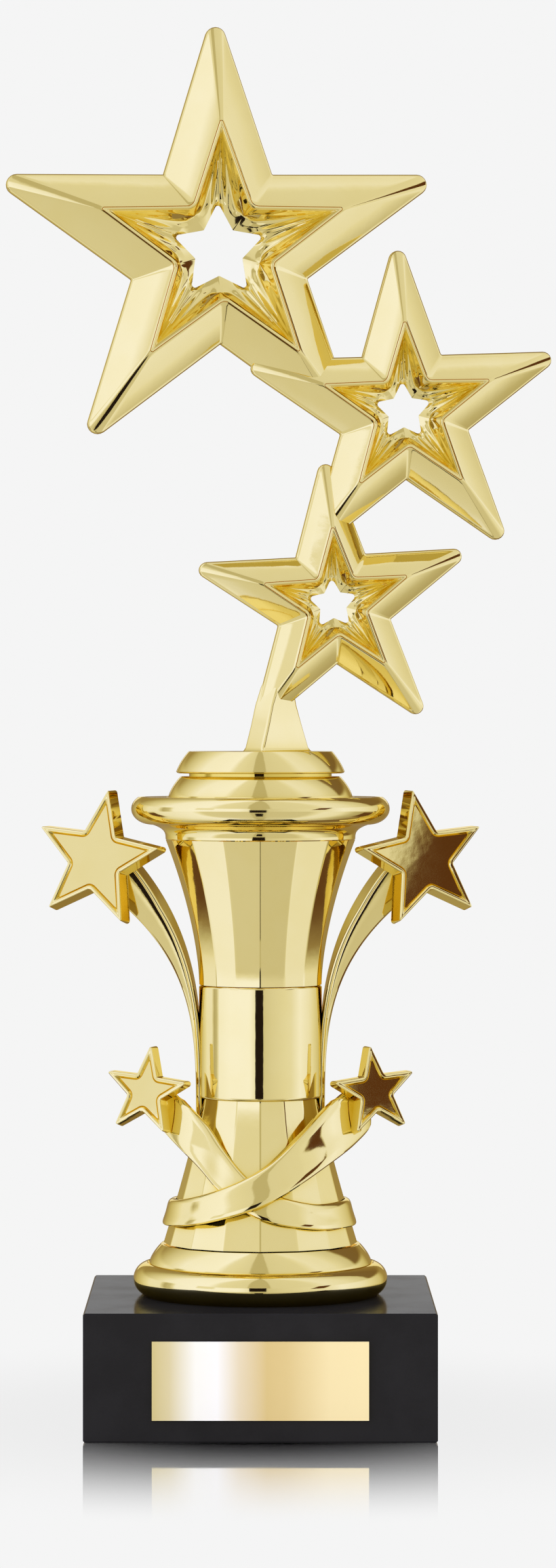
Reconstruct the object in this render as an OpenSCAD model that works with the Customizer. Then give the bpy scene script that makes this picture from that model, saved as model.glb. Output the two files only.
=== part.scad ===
// Star trophy: a black block, a hollow gilt column with four side stars,
// and a figure of three pierced stars that turns on the tie rod.

/* [Base block] */
// Width and depth of the block
base_w = 90; // [76:1:130]
// Height of the block above the surface it stands on
base_h = 33; // [26:1:60]
// Bevel along the block's edges
base_bevel = 0.5; // [0.2:0.1:1.5]
// Rim of the block left round the felt
felt_rim = 2; // [1:0.5:6]
// Thickness of the felt sheet
felt_t = 1; // [0.9:0.1:2]
// How far the felt stands out below the block
felt_proud = 0.2; // [0.1:0.1:0.5]
// Diameter of the pocket for the nut and washer
pocket_d = 24; // [18:1:30]
// Depth of the pocket above the felt
pocket_depth = 12; // [10:1:16]

/* [Name plate] */
// Width of the plate
plate_w = 55; // [30:1:70]
// Height of the plate
plate_h = 20; // [12:1:22]
// Thickness of the plate
plate_t = 0.5; // [0.3:0.1:1.5]
// Thickness of the adhesive sheet behind the plate
tape_t = 0.3; // [0.1:0.1:1]
// Margin between the adhesive's edge and the plate's edge
tape_margin = 1; // [0.5:0.5:3]

/* [Column] */
// Wall thickness of the hollow column pieces
wall = 1.8; // [1.2:0.1:2.4]
// Number of flat facets round the fluted pieces
facets = 16; // [12:2:24]
// Largest radius of the foot's rolled lip
foot_r = 33.3; // [31:0.1:36]
// Height of the foot's rolled lip
foot_lip_h = 8.4; // [6:0.2:10]
// Height of the stepped ring above the lip
foot_step_h = 5.2; // [4:0.2:7]
// Radius of the fluted flare at its bottom
flare_bottom_r = 25.4; // [24:0.1:26]
// Height of the fluted flare
flare_h = 37.9; // [35:0.5:46]
// Radius of the plain waist sleeve
waist_r = 16.1; // [14.5:0.1:18]
// Height of the waist sleeve
waist_h = 29.7; // [20:0.5:40]
// Radius of the fluted bell at its top
bell_top_r = 24.9; // [21:0.1:26]
// Height of the fluted bell
bell_h = 38; // [34:0.5:50]
// Largest radius of the cup's rolled rim
rim_r = 33.9; // [31:0.1:38]
// Height of the plain collar under the rim
collar_h = 4; // [3:0.2:6]
// Height of the rolled rim
rim_h = 7.2; // [6:0.2:9]
// Radius of the domed lid
lid_r = 24.2; // [22:0.1:26]
// Height of the lid above the rim
lid_h = 5.4; // [4:0.2:8]

/* [Side stars] */
// Distance from the column's axis to the centre of an upper star
upper_star_x = 41.4; // [38:0.1:50]
// Sharp tip radius of an upper star at its back
upper_star_r = 20; // [16:0.1:22]
// Thickness of an upper star
upper_star_t = 4.5; // [3:0.5:6]
// Distance from the column's axis to the centre of a lower star
lower_star_x = 28.9; // [28:0.1:34]
// Sharp tip radius of a lower star at its back
lower_star_r = 13.7; // [11:0.1:15]
// Thickness of a lower star
lower_star_t = 3.4; // [2.5:0.1:4.5]
// Thickness of an arm from front to back
arm_depth = 6; // [4:0.5:8]
// Thickness of a ribbon
ribbon_t = 1.7; // [1.2:0.1:2.2]

/* [Figure] */
// Radius of the figure's round foot
disc_r = 22.1; // [20:0.1:24]
// Height of the figure's round foot
disc_h = 5.8; // [5:0.2:8]
// Height of the stem between the round foot and the small star's notch
stem_h = 33.6; // [30:0.2:38]
// Sharp tip radius of the large star
large_r = 64.6; // [56:0.1:70]
// Turn of the figure on its foot, towards the right
figure_yaw = 10; // [-20:1:20]
// Half the thickness of the large star
large_half = 8; // [6:0.5:10]
// Sharp tip radius of the middle star
middle_r = 47.5; // [45:0.1:50]
// Half the thickness of the middle star
middle_half = 6.6; // [5:0.1:8]
// Sharp tip radius of the small star
small_r = 41.6; // [39:0.1:44]
// Half the thickness of the small star
small_half = 6; // [5:0.1:8]
// Wall thickness of the star shells
shell = 1.4; // [1:0.1:1.8]

/* [Fixings] */
// Diameter of the tie rod
rod_d = 5; // [4:0.5:6]
// Outer diameter of the threaded insert
insert_d = 8; // [7.5:0.5:9]
// Width of the nut across its corners
nut_corners = 9.2; // [8:0.1:12]
// Height of the nut
nut_h = 4; // [3:0.5:6]
// Diameter of the washer
washer_d = 20; // [14:1:22]
// Thickness of the washer
washer_t = 1.2; // [0.8:0.1:2]
// Clearance round a part that turns or passes through
clearance = 0.3; // [0.2:0.05:0.6]

/* [Hidden] */
$fn = 96;
gold = [0.86, 0.74, 0.36];
black = [0.12, 0.12, 0.13];
steel = [0.7, 0.71, 0.73];

// Heights of the stacked pieces, from the surface the trophy stands on
z_foot = base_h;
z_step = z_foot + foot_lip_h;
z_flare = z_step + foot_step_h;
z_waist = z_flare + flare_h;
z_bell = z_waist + waist_h;
z_collar = z_bell + bell_h;
z_rim = z_collar + collar_h;
z_lid = z_rim + rim_h;
z_disc = z_lid + lid_h + 0.8;
z_stem = z_disc + disc_h;

// Rod, nut and their pocket in the block
rod_r = rod_d / 2;
z_pocket = felt_t + pocket_depth;
z_nut = z_pocket - washer_t - nut_h;
z_rod = z_nut - 2;
boss_r = insert_d / 2 + 2;
boss_drop = 3.4;
disc_top_t = 3;
z_boss = z_disc - boss_drop;
z_boss_top = z_stem - disc_top_t;

// Places of the side stars: out to the front, above or below a joint of the
// column, and roll
lower_star_out = 4.5;
lower_star_up = 1.8;
lower_star_roll = 6;
arm_bite = 0.8;
upper_star_drop = 5.3;
upper_star_roll = 9;
// Yaw away from the column and lean upwards of all four side stars
side_star_yaw = 25;
side_star_lean = 6;
// Share of a side star's tip radius at its notches
upper_notch_k = 0.43;
lower_notch_k = 0.4;

// Steps from star to star in the figure before its turn, and the stars' rolls
stem_bite = 5.1;
small_to_middle = [18.7, 50.9];
middle_to_large = [-49.2, 41.6];
small_roll = 3.4;
middle_roll = 2.3;
large_roll = 1;
small_x = 19.4;
small_z = z_stem + stem_h + stem_bite;
middle_x = small_x + small_to_middle[0];
middle_z = small_z + small_to_middle[1];
large_x = middle_x + middle_to_large[0];
large_z = middle_z + middle_to_large[1];
middle_y = -0.8;

// Shares of a star's sharp tip radius: notch, lip star and hole star
notch_k = 0.38;
large_lip = 0.534;
large_hole = 0.196;
middle_lip = 0.512;
middle_hole = 0.17;
small_lip = 0.508;
small_hole = 0.169;
// Share of a lip star's tip radius at its notches
lip_k = 0.395;
// Rounding of the stars' tips
large_tip = 2.7;
middle_tip = 2.3;
small_tip = 2.1;

// Peg under the stem and its socket in the round foot
stem_peg_x = 4.5;
stem_peg_r = 2.5;
stem_peg_h = 2;

// ---- points and lofts ----

// Points of an elliptical arc in a profile
function arc(cx, cz, rx, rz, a0, a1, n) =
    [for (i = [0:n]) let (a = a0 + (a1 - a0) * i / n) [cx + rx * cos(a), cz + rz * sin(a)]];

// Points of a slanted wall in a profile that bulges a little in its middle
function slant(r0, z0, r1, z1, bulge, n) =
    [for (i = [0:n]) let (t = i / n) [r0 + (r1 - r0) * t + 4 * bulge * t * (1 - t), z0 + (z1 - z0) * t]];

// Five-pointed outline with round tips: 3 points to a tip and 1 to a notch
function star_points(tip, notch, round_r) =
    let (half_angle = atan2(notch * sin(36), tip - notch * cos(36)),
         c = tip - round_r / sin(half_angle))
    [for (i = [0:4]) let (a = 90 + 72 * i) each [
        for (k = [-1:1]) let (b = a + k * (90 - half_angle))
            [c * cos(a) + round_r * cos(b), c * sin(a) + round_r * sin(b)],
        [notch * cos(a + 36), notch * sin(a + 36)]]];

// A star outline moved inwards by d, for a star whose notch is a share k of its tip
function star_inset(tip, k, round_r, d) =
    let (half_angle = atan2(k * sin(36), 1 - k * cos(36)))
    star_points(tip - d / sin(half_angle), k * tip - d / sin(36 + half_angle),
        max(round_r - d, 0.3));

// An outline stood up in the XZ plane at depth w towards the front
function stand(outline, w) = [for (p = outline) [p[0], -w, p[1]]];

// Triangles between ring a and ring b of n points each
function band(a, b, n) = [for (i = [0:n - 1]) let (j = (i + 1) % n)
    each [[a * n + i, b * n + i, b * n + j], [a * n + i, b * n + j, a * n + j]]];

function mean(ring) = [for (k = [0:2]) let (c = [for (p = ring) p[k]])
    c * [for (p = ring) 1] / len(ring)];

// Closed tube of rings: the last ring joins the first
module ring_loft(rings) {
    n = len(rings[0]);
    m = len(rings);
    polyhedron([for (r = rings) each r], [for (k = [0:m - 1]) each band(k, (k + 1) % m, n)]);
}

// Solid between the first and the last ring, closed by fans about their middles
module solid_loft(rings) {
    n = len(rings[0]);
    m = len(rings);
    polyhedron(concat([for (r = rings) each r], [mean(rings[0]), mean(rings[m - 1])]),
        concat([for (k = [0:m - 2]) each band(k, k + 1, n)],
            [for (i = [0:n - 1]) [m * n, i, (i + 1) % n]],
            [for (i = [0:n - 1]) [m * n + 1, (m - 1) * n + (i + 1) % n, (m - 1) * n + i]]));
}

// ---- base ----

module square_block(w, h, bevel) {
    side = w / 2 - bevel;
    hull() {
        for (x = [-side, side], y = [-side, side])
            translate([x, y, bevel]) cylinder(r = bevel, h = h - 2 * bevel, $fn = 24);
        translate([-side, -side, 0]) cube([2 * side, 2 * side, h]);
    }
}

module base_block() {
    color(black) difference() {
        translate([0, 0, felt_proud]) square_block(base_w, base_h - felt_proud, base_bevel);
        translate([-base_w / 2 + felt_rim, -base_w / 2 + felt_rim, -1])
            cube([base_w - 2 * felt_rim, base_w - 2 * felt_rim, felt_t + 1]);
        cylinder(d = pocket_d, h = z_pocket);
        cylinder(r = rod_r + clearance, h = base_h + 1);
    }
}

module base_felt() {
    side = base_w - 2 * felt_rim - 2 * clearance;
    color([0.1, 0.1, 0.1]) translate([-side / 2, -side / 2, 0]) cube([side, side, felt_t]);
}

module plate_adhesive() {
    w = plate_w - 2 * tape_margin;
    h = plate_h - 2 * tape_margin;
    color("white") translate([-w / 2, -base_w / 2 - tape_t, (base_h - h) / 2 - 0.5])
        cube([w, tape_t, h]);
}

module name_plate() {
    color([0.9, 0.8, 0.5])
        translate([-plate_w / 2, -base_w / 2 - tape_t - plate_t, (base_h - plate_h) / 2 - 0.5])
        cube([plate_w, plate_t, plate_h]);
}

// ---- column ----

// Radius of the fluted flare and bell at height z; plain waist between them
function column_r(z) =
    z < z_flare ? flare_bottom_r :
    z < z_waist ? waist_r - 0.5 + (flare_bottom_r - waist_r + 0.5)
        * pow((z_waist - z) / flare_h, 1.18) :
    z < z_bell ? waist_r :
    waist_r + (bell_top_r - waist_r) * pow(min(1, (z - z_bell) / bell_h), 1.65);

function facet_ring(r, z) = [for (i = [0:facets - 1]) let (a = -90 + 360 * i / facets)
    [r * cos(a), r * sin(a), z]];

// Hollow fluted piece from z0 to z1 that follows column_r
module fluted_shell(z0, z1, levels) {
    z_at = [for (k = [0:levels]) z0 + (z1 - z0) * k / levels];
    e = 0.001;
    outer = [for (z = z_at) facet_ring(column_r(min(max(z, z0 + e), z1 - e)), z)];
    inner = [for (k = [levels:-1:0]) let (z = z_at[k])
        facet_ring(column_r(min(max(z, z0 + e), z1 - e)) - wall, z)];
    ring_loft(concat(outer, inner));
}

module column_foot() {
    seat_r = flare_bottom_r - wall - 2;
    color(gold) rotate_extrude() polygon(concat(
        [[foot_r - 7 - wall, z_foot], [foot_r - 2.5, z_foot]],
        arc(foot_r - 4, z_foot + foot_lip_h / 2, 4, foot_lip_h / 2, -60, 90, 12),
        slant(foot_r - 4.1, z_step, flare_bottom_r + 0.5, z_flare - 0.3, 0.4, 5),
        [[flare_bottom_r, z_flare], [seat_r, z_flare], [seat_r, z_flare - wall],
            [flare_bottom_r - wall, z_flare - wall - 1]]));
}

module lower_column() { color(gold) fluted_shell(z_flare, z_waist, 8); }

module upper_column() { color(gold) fluted_shell(z_bell, z_collar, 8); }

module waist_sleeve() {
    soft = 0.8;
    color(gold) rotate_extrude() polygon(concat(
        [[waist_r - wall - 0.6, z_waist], [waist_r - soft, z_waist]],
        arc(waist_r - soft, z_waist + soft, soft, soft, -60, 0, 4),
        arc(waist_r - soft, z_bell - soft, soft, soft, 0, 60, 4),
        [[waist_r - soft, z_bell], [waist_r - wall - 0.6, z_bell]]));
}

module cup_rim() {
    seat_r = lid_r + clearance;
    color(gold) rotate_extrude() polygon(concat(
        [[bell_top_r - wall, z_collar], [bell_top_r, z_collar], [rim_r - 5.7, z_rim - 0.1]],
        arc(rim_r - 5.3, z_rim + 0.57 * rim_h, 5.3, 0.57 * rim_h, -90, 49, 14),
        [[rim_r - 2.4, z_lid], [seat_r, z_lid], [seat_r, z_lid - 2],
            [seat_r - 3, z_lid - 2], [seat_r - 3, z_lid - 2 - wall], [bell_top_r - wall, z_rim]]));
}

module cup_lid() {
    hole_r = boss_r + clearance;
    color(gold) rotate_extrude() polygon(concat(
        [[lid_r - 2.5, z_lid - 2], [lid_r, z_lid - 2]],
        slant(lid_r, z_lid, lid_r - 3.2, z_disc - 0.8, 0.4, 5),
        [[disc_r - 2.7, z_disc - 0.8], [disc_r - 2.7, z_disc], [hole_r, z_disc],
            [hole_r, z_disc - 2.4], [lid_r - 6.5, z_disc - 2.4]]));
}

// ---- ribbons and side stars ----

// Along a ribbon the turn runs from its star (0) over the front (90) and the
// far side (180) to the back (270). Each row: turn, height, width, stand-off.
over_path = [[-8, 84.5, 12, 11], [0, 83.3, 13.5, 10.5], [15, 80, 14, 7], [30, 76.9, 13.6, 4.6],
    [45, 73.6, 12.8, 2.9], [60, 69.9, 11.7, 1.9], [90, 62.6, 9.4, 1.6], [125, 57.3, 7.8, 1.3],
    [160, 55, 6.9, 0.4], [200, 54.7, 6.7, 0.25], [270, 54.7, 6.7, 0.25]];
under_path = [[-8, 85.5, 10, 11], [0, 84.3, 10.8, 10.5], [15, 80.6, 11.2, 7], [30, 76.8, 11, 4.4],
    [45, 72.3, 11, 1.8], [60, 66.8, 10.3, 0.15], [90, 58.7, 8, 0.15], [125, 55.1, 6.6, 0.15],
    [160, 54.7, 6.7, 0.2], [200, 54.7, 6.7, 0.25], [270, 54.7, 6.7, 0.25]];
path_floor = 46.6;

// Cross-section: height across the ribbon from -1 to 1, and share of its thickness
ribbon_section = [[-1, 0], [1, 0], [1, 0.45], [0.6, 1], [-0.6, 1], [-1, 0.45]];

function path_value(path, turn, column) = lookup(turn, [for (row = path) [row[0], row[column]]]);

function ribbon_ring(path, side, turn, t) =
    let (z_mid = path_value(path, turn, 1) - path_floor + z_flare,
         half_w = path_value(path, turn, 2) / 2,
         off = path_value(path, turn, 3))
    [for (q = ribbon_section) let (z = z_mid + q[0] * half_w, r = column_r(z) + off + q[1] * t)
        [side * r * cos(turn), -r * sin(turn), z]];

module ribbon(path, side, t) {
    steps = 46;
    rings = [for (k = [0:steps]) ribbon_ring(path, side, -8 + 278 * k / steps, t)];
    difference() {
        solid_loft(side > 0 ? reversed(rings) : rings);
        lower_star_body(side);
    }
}

module ribbon_right() { color(gold) ribbon(over_path, 1, ribbon_t); }

module ribbon_left() { color(gold) ribbon(under_path, -1, 0.7 * ribbon_t); }

// Solid star with drafted sides, a raised rim and a sunk panel
module panel_star(tip, k, t) {
    tip_round = 0.8;
    draft = tip / 30;
    rim = 0.8;
    sunk = 0.7;
    solid_loft([
        stand(star_points(tip, k * tip, tip_round), 0),
        stand(star_inset(tip, k, tip_round, draft), t),
        stand(star_inset(tip, k, tip_round, draft + rim), t),
        stand(star_inset(tip, k, tip_round, draft + rim + 0.3), t - sunk)]);
}

module lower_star_body(side) {
    translate([side * lower_star_x, -lower_star_out, z_waist + lower_star_up])
        rotate([-side_star_lean, -side * lower_star_roll, side * side_star_yaw])
        panel_star(lower_star_r, lower_notch_k, lower_star_t);
}

module upper_star_body(side) {
    translate([side * upper_star_x, arm_bite - arm_depth / 2, z_collar - upper_star_drop])
        rotate([-side_star_lean, -side * upper_star_roll, side * side_star_yaw])
        panel_star(upper_star_r, upper_notch_k, upper_star_t);
}

module lower_star_left() { color(gold) lower_star_body(-1); }
module lower_star_right() { color(gold) lower_star_body(1); }
module upper_star_left() { color(gold) upper_star_body(-1); }
module upper_star_right() { color(gold) upper_star_body(1); }

// Curved arm that runs up the waist and swings out behind its star
module upper_arm(side) {
    z_low = z_waist - 5;
    z_high = z_collar - upper_star_drop;
    reach = 1.43 * (upper_star_x - waist_r);
    top = 0.93;
    steps = 14;
    function x_out(t) = waist_r + 0.8 + reach * pow(t, 3.3);
    function x_in(t) = waist_r - 1 + 0.58 * reach * pow(t, 3.3);
    rise = z_high - z_low;
    outline = concat(
        [for (i = [0:steps]) let (t = top * i / steps) [x_out(t), z_low + rise * t]],
        [for (i = [steps:-1:0]) let (t = top * i / steps) [x_in(t), z_low + (rise + 4) * t]]);
    difference() {
        translate([0, arm_depth / 2, 0]) rotate([90, 0, 0])
            linear_extrude(arm_depth) polygon([for (p = outline) [side * p[0], p[1]]]);
        translate([0, 0, z_waist - 0.01]) cylinder(r = waist_r, h = waist_h + 0.02);
        solid_loft([for (k = [0:6]) let (z = z_bell + bell_h * k / 6) facet_ring(column_r(z), z)]);
        solid_loft([for (z = [z_low - 1, z_waist]) facet_ring(column_r(z - 0.001), z)]);
        upper_star_body(side);
    }
}

module upper_arm_left() { color(gold) upper_arm(-1); }
module upper_arm_right() { color(gold) upper_arm(1); }

// ---- figure ----

module figure_foot() {
    seat_w = 6.6;
    color(gold) difference() {
        rotate_extrude() polygon(concat(
            [[disc_r - 4, z_disc], [disc_r - 0.4, z_disc]],
            slant(disc_r, z_disc + 0.4, disc_r - 3.2, z_stem, 0.3, 5),
            [[0, z_stem], [0, z_boss], [boss_r, z_boss],
                [boss_r, z_boss_top], [disc_r - seat_w, z_boss_top]]));
        translate([0, 0, z_boss - 1]) cylinder(d = insert_d, h = z_boss_top - z_boss + 1);
        turned() translate([stem_peg_x, 0, z_stem - stem_peg_h]) cylinder(r = stem_peg_r, h = 5);
    }
}

// Four-sided ring of the stem: left edge, front ridge, right edge, back ridge
function stem_ring(left, ridge, right, depth, z) =
    [[left, 0, z], [ridge, -depth, z], [right, 0, z], [ridge, depth, z]];

module figure_stem() {
    color(gold) turned() difference() {
        union() {
            solid_loft([
                stem_ring(-4.2, -0.7, 13.3, 7, z_stem),
                stem_ring(-2.7, 0.8, 11.4, 6.2, z_stem + 0.2 * stem_h),
                stem_ring(-1.2, 2.4, 9.5, 5.5, z_stem + 0.42 * stem_h)]);
            translate([stem_peg_x, 0, z_stem - stem_peg_h])
                cylinder(r = stem_peg_r, h = stem_peg_h + 2);
        }
        at_small() star_body(small_r, small_half, small_lip, small_hole, small_tip);
    }
}

// Rings of half a pierced star, from its outline over the lip and down the
// funnel to the hole; d moves the rings into the wall for the inner face
function star_skin(tip, half, lip, hole, round_r, d) =
    let (lip_tip = lip * tip, hole_tip = hole * tip)
    [stand(star_inset(tip, notch_k, round_r, d), 0),
     stand(star_inset(tip, notch_k, round_r, 0.5 + d), 0.22 * half),
     stand(star_points(lip_tip, lip_k * lip_tip, 0.4), half - 1.15 * d),
     stand(star_points(lip_tip - 0.6, lip_k * lip_tip - 0.4, 0.3), half - 1.15 * d),
     stand(star_points(hole_tip + 0.6 + d, 0.86 * hole_tip + 0.8 * d, 0.8), 0.35 * half - 0.8 * d),
     stand(star_points(hole_tip + 1.1 * d, 0.52 * hole_tip + 1.7 * d, 0.8), 0)];

function reversed(list) = [for (k = [len(list) - 1:-1:0]) list[k]];

module star_shell(tip, half, lip, hole, round_r) {
    ring_loft(concat(star_skin(tip, half, lip, hole, round_r, 0),
        reversed(star_skin(tip, half, lip, hole, round_r, shell))));
}

// Whole pierced star without its inner space
module star_body(tip, half, lip, hole, round_r) {
    front = star_skin(tip, half, lip, hole, round_r, 0);
    rear = [for (k = [4:-1:1]) [for (p = front[k]) [p[0], -p[1], p[2]]]];
    ring_loft(concat(front, rear));
}

module turned() { rotate([0, 0, figure_yaw]) children(); }
module at_small() { translate([small_x, 0, small_z]) rotate([0, -small_roll, 0]) children(); }
module at_middle() { translate([middle_x, middle_y, middle_z]) rotate([0, -middle_roll, 0]) children(); }
module at_large() { translate([large_x, 0, large_z]) rotate([0, -large_roll, 0]) children(); }

// What the middle star takes out of its neighbours: its whole body with the
// funnels filled, a little larger all round
module middle_star_cut() {
    skin = star_skin(middle_r, middle_half, middle_lip, middle_hole, middle_tip, 0);
    roof = [for (k = [0:2]) skin[k]];
    at_middle() scale(1.002) {
        solid_loft(roof);
        mirror([0, 1, 0]) solid_loft(roof);
    }
}

// Rear end of the large star's arm, past the middle of the arm that it crosses
module crossed_tip() {
    arm_rise = 18;
    at_middle() rotate([0, arm_rise, 0]) translate([-middle_r, 0, -middle_r])
        cube([middle_r, large_half + 1, middle_r]);
}

module small_star_front() {
    color(gold) turned() difference() {
        at_small() star_shell(small_r, small_half, small_lip, small_hole, small_tip);
        middle_star_cut();
    }
}

module small_star_rear() {
    color(gold) turned() difference() {
        at_small() mirror([0, 1, 0]) star_shell(small_r, small_half, small_lip, small_hole, small_tip);
        middle_star_cut();
    }
}

module middle_star_front() {
    color(gold) turned() at_middle() star_shell(middle_r, middle_half, middle_lip, middle_hole, middle_tip);
}

module middle_star_rear() {
    color(gold) turned() at_middle() mirror([0, 1, 0])
        star_shell(middle_r, middle_half, middle_lip, middle_hole, middle_tip);
}

module large_star_front() {
    color(gold) turned() difference() {
        at_large() star_shell(large_r, large_half, large_lip, large_hole, large_tip);
        middle_star_cut();
    }
}

module large_star_rear() {
    color(gold) turned() difference() {
        at_large() mirror([0, 1, 0]) star_shell(large_r, large_half, large_lip, large_hole, large_tip);
        middle_star_cut();
        crossed_tip();
    }
}

// ---- fixings ----

module rod_insert() {
    color([0.78, 0.62, 0.3]) difference() {
        translate([0, 0, z_boss]) cylinder(d = insert_d, h = z_boss_top - z_boss);
        translate([0, 0, z_boss - 1]) cylinder(r = rod_r, h = z_boss_top - z_boss + 2);
    }
}

module tie_rod() {
    color(steel) translate([0, 0, z_rod]) cylinder(r = rod_r, h = z_boss_top - z_rod);
}

module rod_nut() {
    color(steel) difference() {
        translate([0, 0, z_nut]) cylinder(d = nut_corners, h = nut_h, $fn = 6);
        translate([0, 0, z_nut - 1]) cylinder(r = rod_r, h = nut_h + 2);
    }
}

module rod_washer() {
    color(steel) difference() {
        translate([0, 0, z_pocket - washer_t]) cylinder(d = washer_d, h = washer_t);
        translate([0, 0, z_pocket - washer_t - 1]) cylinder(r = rod_r + clearance, h = washer_t + 2);
    }
}

base_block();
base_felt();
name_plate();
plate_adhesive();
column_foot();
lower_column();
ribbon_left();
ribbon_right();
lower_star_left();
lower_star_right();
waist_sleeve();
upper_column();
upper_arm_left();
upper_arm_right();
upper_star_left();
upper_star_right();
cup_rim();
cup_lid();
rod_washer();
figure_foot();
figure_stem();
small_star_front();
small_star_rear();
middle_star_front();
middle_star_rear();
large_star_front();
large_star_rear();
rod_insert();
tie_rod();
rod_nut();
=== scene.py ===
# %% [markdown]
# # A gilt star trophy
# This lesson dresses a packed trophy model: a black block with a foil plate, a hollow fluted column
# with side stars and ribbons, and a figure of three pierced stars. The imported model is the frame. It
# says where every piece is and how large it is, and what is made here sits exactly in those places.
# The alternative is to model everything from nothing and fit it afterwards, which drifts.

# %% Load the frame
from math import atan2, cos, pi, radians, sin

import bmesh
import bpy
from mathutils import Euler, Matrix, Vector


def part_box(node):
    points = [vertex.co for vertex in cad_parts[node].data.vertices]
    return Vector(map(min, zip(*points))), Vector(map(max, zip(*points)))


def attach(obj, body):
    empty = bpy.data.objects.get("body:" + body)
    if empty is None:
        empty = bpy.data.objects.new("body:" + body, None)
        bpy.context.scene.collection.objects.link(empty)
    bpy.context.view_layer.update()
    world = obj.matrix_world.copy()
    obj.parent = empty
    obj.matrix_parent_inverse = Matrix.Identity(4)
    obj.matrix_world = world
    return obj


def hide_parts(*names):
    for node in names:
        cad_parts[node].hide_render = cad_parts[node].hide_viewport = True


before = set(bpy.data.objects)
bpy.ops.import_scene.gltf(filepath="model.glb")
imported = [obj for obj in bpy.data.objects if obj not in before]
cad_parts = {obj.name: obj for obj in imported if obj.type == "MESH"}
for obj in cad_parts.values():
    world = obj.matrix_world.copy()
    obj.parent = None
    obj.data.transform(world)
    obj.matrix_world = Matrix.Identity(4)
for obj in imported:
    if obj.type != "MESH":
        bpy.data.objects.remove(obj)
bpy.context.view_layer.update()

MM = 0.001


# %% Sizes read from the frame
def box_mm(node):
    """Lowest and highest corner of a node in millimetres."""
    low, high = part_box(node)
    return [c / MM for c in low], [c / MM for c in high]


def levels(node):
    """Bottom and top of a node in millimetres."""
    low, high = box_mm(node)
    return low[2], high[2]


def radius(node):
    """Largest radius of a round node that stands on the trophy's axis."""
    return box_mm(node)[1][0]


foot_bottom = levels("column_foot")[0]
flare_bottom = levels("lower_column")[0]
waist_bottom = levels("waist_sleeve")[0]
bell_bottom, collar_bottom = levels("upper_column")
rim_top = levels("cup_rim")[1]
lid_top = levels("cup_lid")[1]
DISC_H = 5.8
stem_bottom = levels("figure_foot")[1]
disc_bottom = stem_bottom - DISC_H
foot_r, waist_r, rim_r = radius("column_foot"), radius("waist_sleeve"), radius("cup_rim")
lid_r, disc_r = radius("cup_lid"), radius("figure_foot")
flare_r, bell_r = 25.4, 24.9
print("column levels", [round(z, 1) for z in (foot_bottom, flare_bottom, waist_bottom, bell_bottom)])
print("upper levels", [round(z, 1) for z in (collar_bottom, rim_top, lid_top, disc_bottom, stem_bottom)])
print("radii", [round(r, 1) for r in (foot_r, waist_r, rim_r, lid_r, disc_r)])

# %% [markdown]
# ## Camera
# A trophy is shown level, from a little over a metre, with a long lens, so that its uprights stay
# parallel. A shifted lens frames the whole height without tipping the camera.

# %% Camera
CAMERA_AWAY, CAMERA_UP = 1.3, 0.1805
camera_data = bpy.data.cameras.new("camera")
camera = bpy.data.objects.new("camera", camera_data)
bpy.context.scene.collection.objects.link(camera)
camera.location = (0, -CAMERA_AWAY, CAMERA_UP)
camera.rotation_euler = (pi / 2, 0, 0)
camera_data.lens = 113.7
camera_data.sensor_width = 36
camera_data.shift_x = 0.0112
camera_data.shift_y = -0.0333
camera_data.dof.use_dof = False
bpy.context.scene.camera = camera
scene = bpy.context.scene
scene.view_settings.view_transform = "Standard"
print("camera", tuple(round(c, 3) for c in camera.location))

# %% [markdown]
# ## Studio
# Plated plastic shows hardly anything of its own: it shows the studio. A soft bright room surrounds the
# trophy, brightest on the left and dim behind, with dark patches on the right that only some faces
# mirror. Area lights could do this, but a painted dome gives every direction a chosen brightness and no
# noise. Two dark cards in front draw the narrow dark strip down the column, and one weak lamp lights the
# block. The camera itself sees a plain pale backdrop.

# %% Node helpers
def node(tree, kind, inputs=None, **settings):
    """A new shader node with its settings and its unlinked inputs."""
    made = tree.nodes.new(kind)
    for name, value in settings.items():
        setattr(made, name, value)
    for name, value in (inputs or {}).items():
        made.inputs[name].default_value = value
    return made


def math_node(tree, operation, first, second=0.0):
    """A math node on two values or sockets; returns its output."""
    made = node(tree, "ShaderNodeMath", operation=operation)
    for slot_index, value in enumerate((first, second)):
        if isinstance(value, (int, float)):
            made.inputs[slot_index].default_value = value
        else:
            tree.links.new(value, made.inputs[slot_index])
    return made.outputs[0]


def smooth_step(tree, value, start, stop, low=0.0, high=1.0):
    """A soft step of a value from low at start to high at stop."""
    made = node(tree, "ShaderNodeMapRange", interpolation_type="SMOOTHSTEP")
    tree.links.new(value, made.inputs["Value"])
    for name, number in zip(("From Min", "From Max", "To Min", "To Max"), (start, stop, low, high)):
        made.inputs[name].default_value = number
    return made.outputs[0]


def ramp(tree, value, stops):
    """A colour ramp with (place, colour) stops; a single number is a grey."""
    made = node(tree, "ShaderNodeValToRGB")
    tree.links.new(value, made.inputs[0])
    elements = made.color_ramp.elements
    while len(elements) < len(stops):
        elements.new(0.5)
    for element, (place, colour) in zip(elements, stops):
        element.position = place
        element.color = (*colour, 1) if isinstance(colour, tuple) else (colour, colour, colour, 1)
    return made.outputs[0]


def mix_colour(tree, share, first, second):
    """A colour mix; colours are sockets or tuples, the share is a socket or a number."""
    made = node(tree, "ShaderNodeMix", data_type="RGBA")
    for socket, value in ((made.inputs[0], share), (made.inputs[6], first), (made.inputs[7], second)):
        if isinstance(value, (int, float)):
            socket.default_value = value
        elif isinstance(value, tuple):
            socket.default_value = (*value, 1)
        else:
            tree.links.new(value, socket)
    return made.outputs[2]


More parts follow.
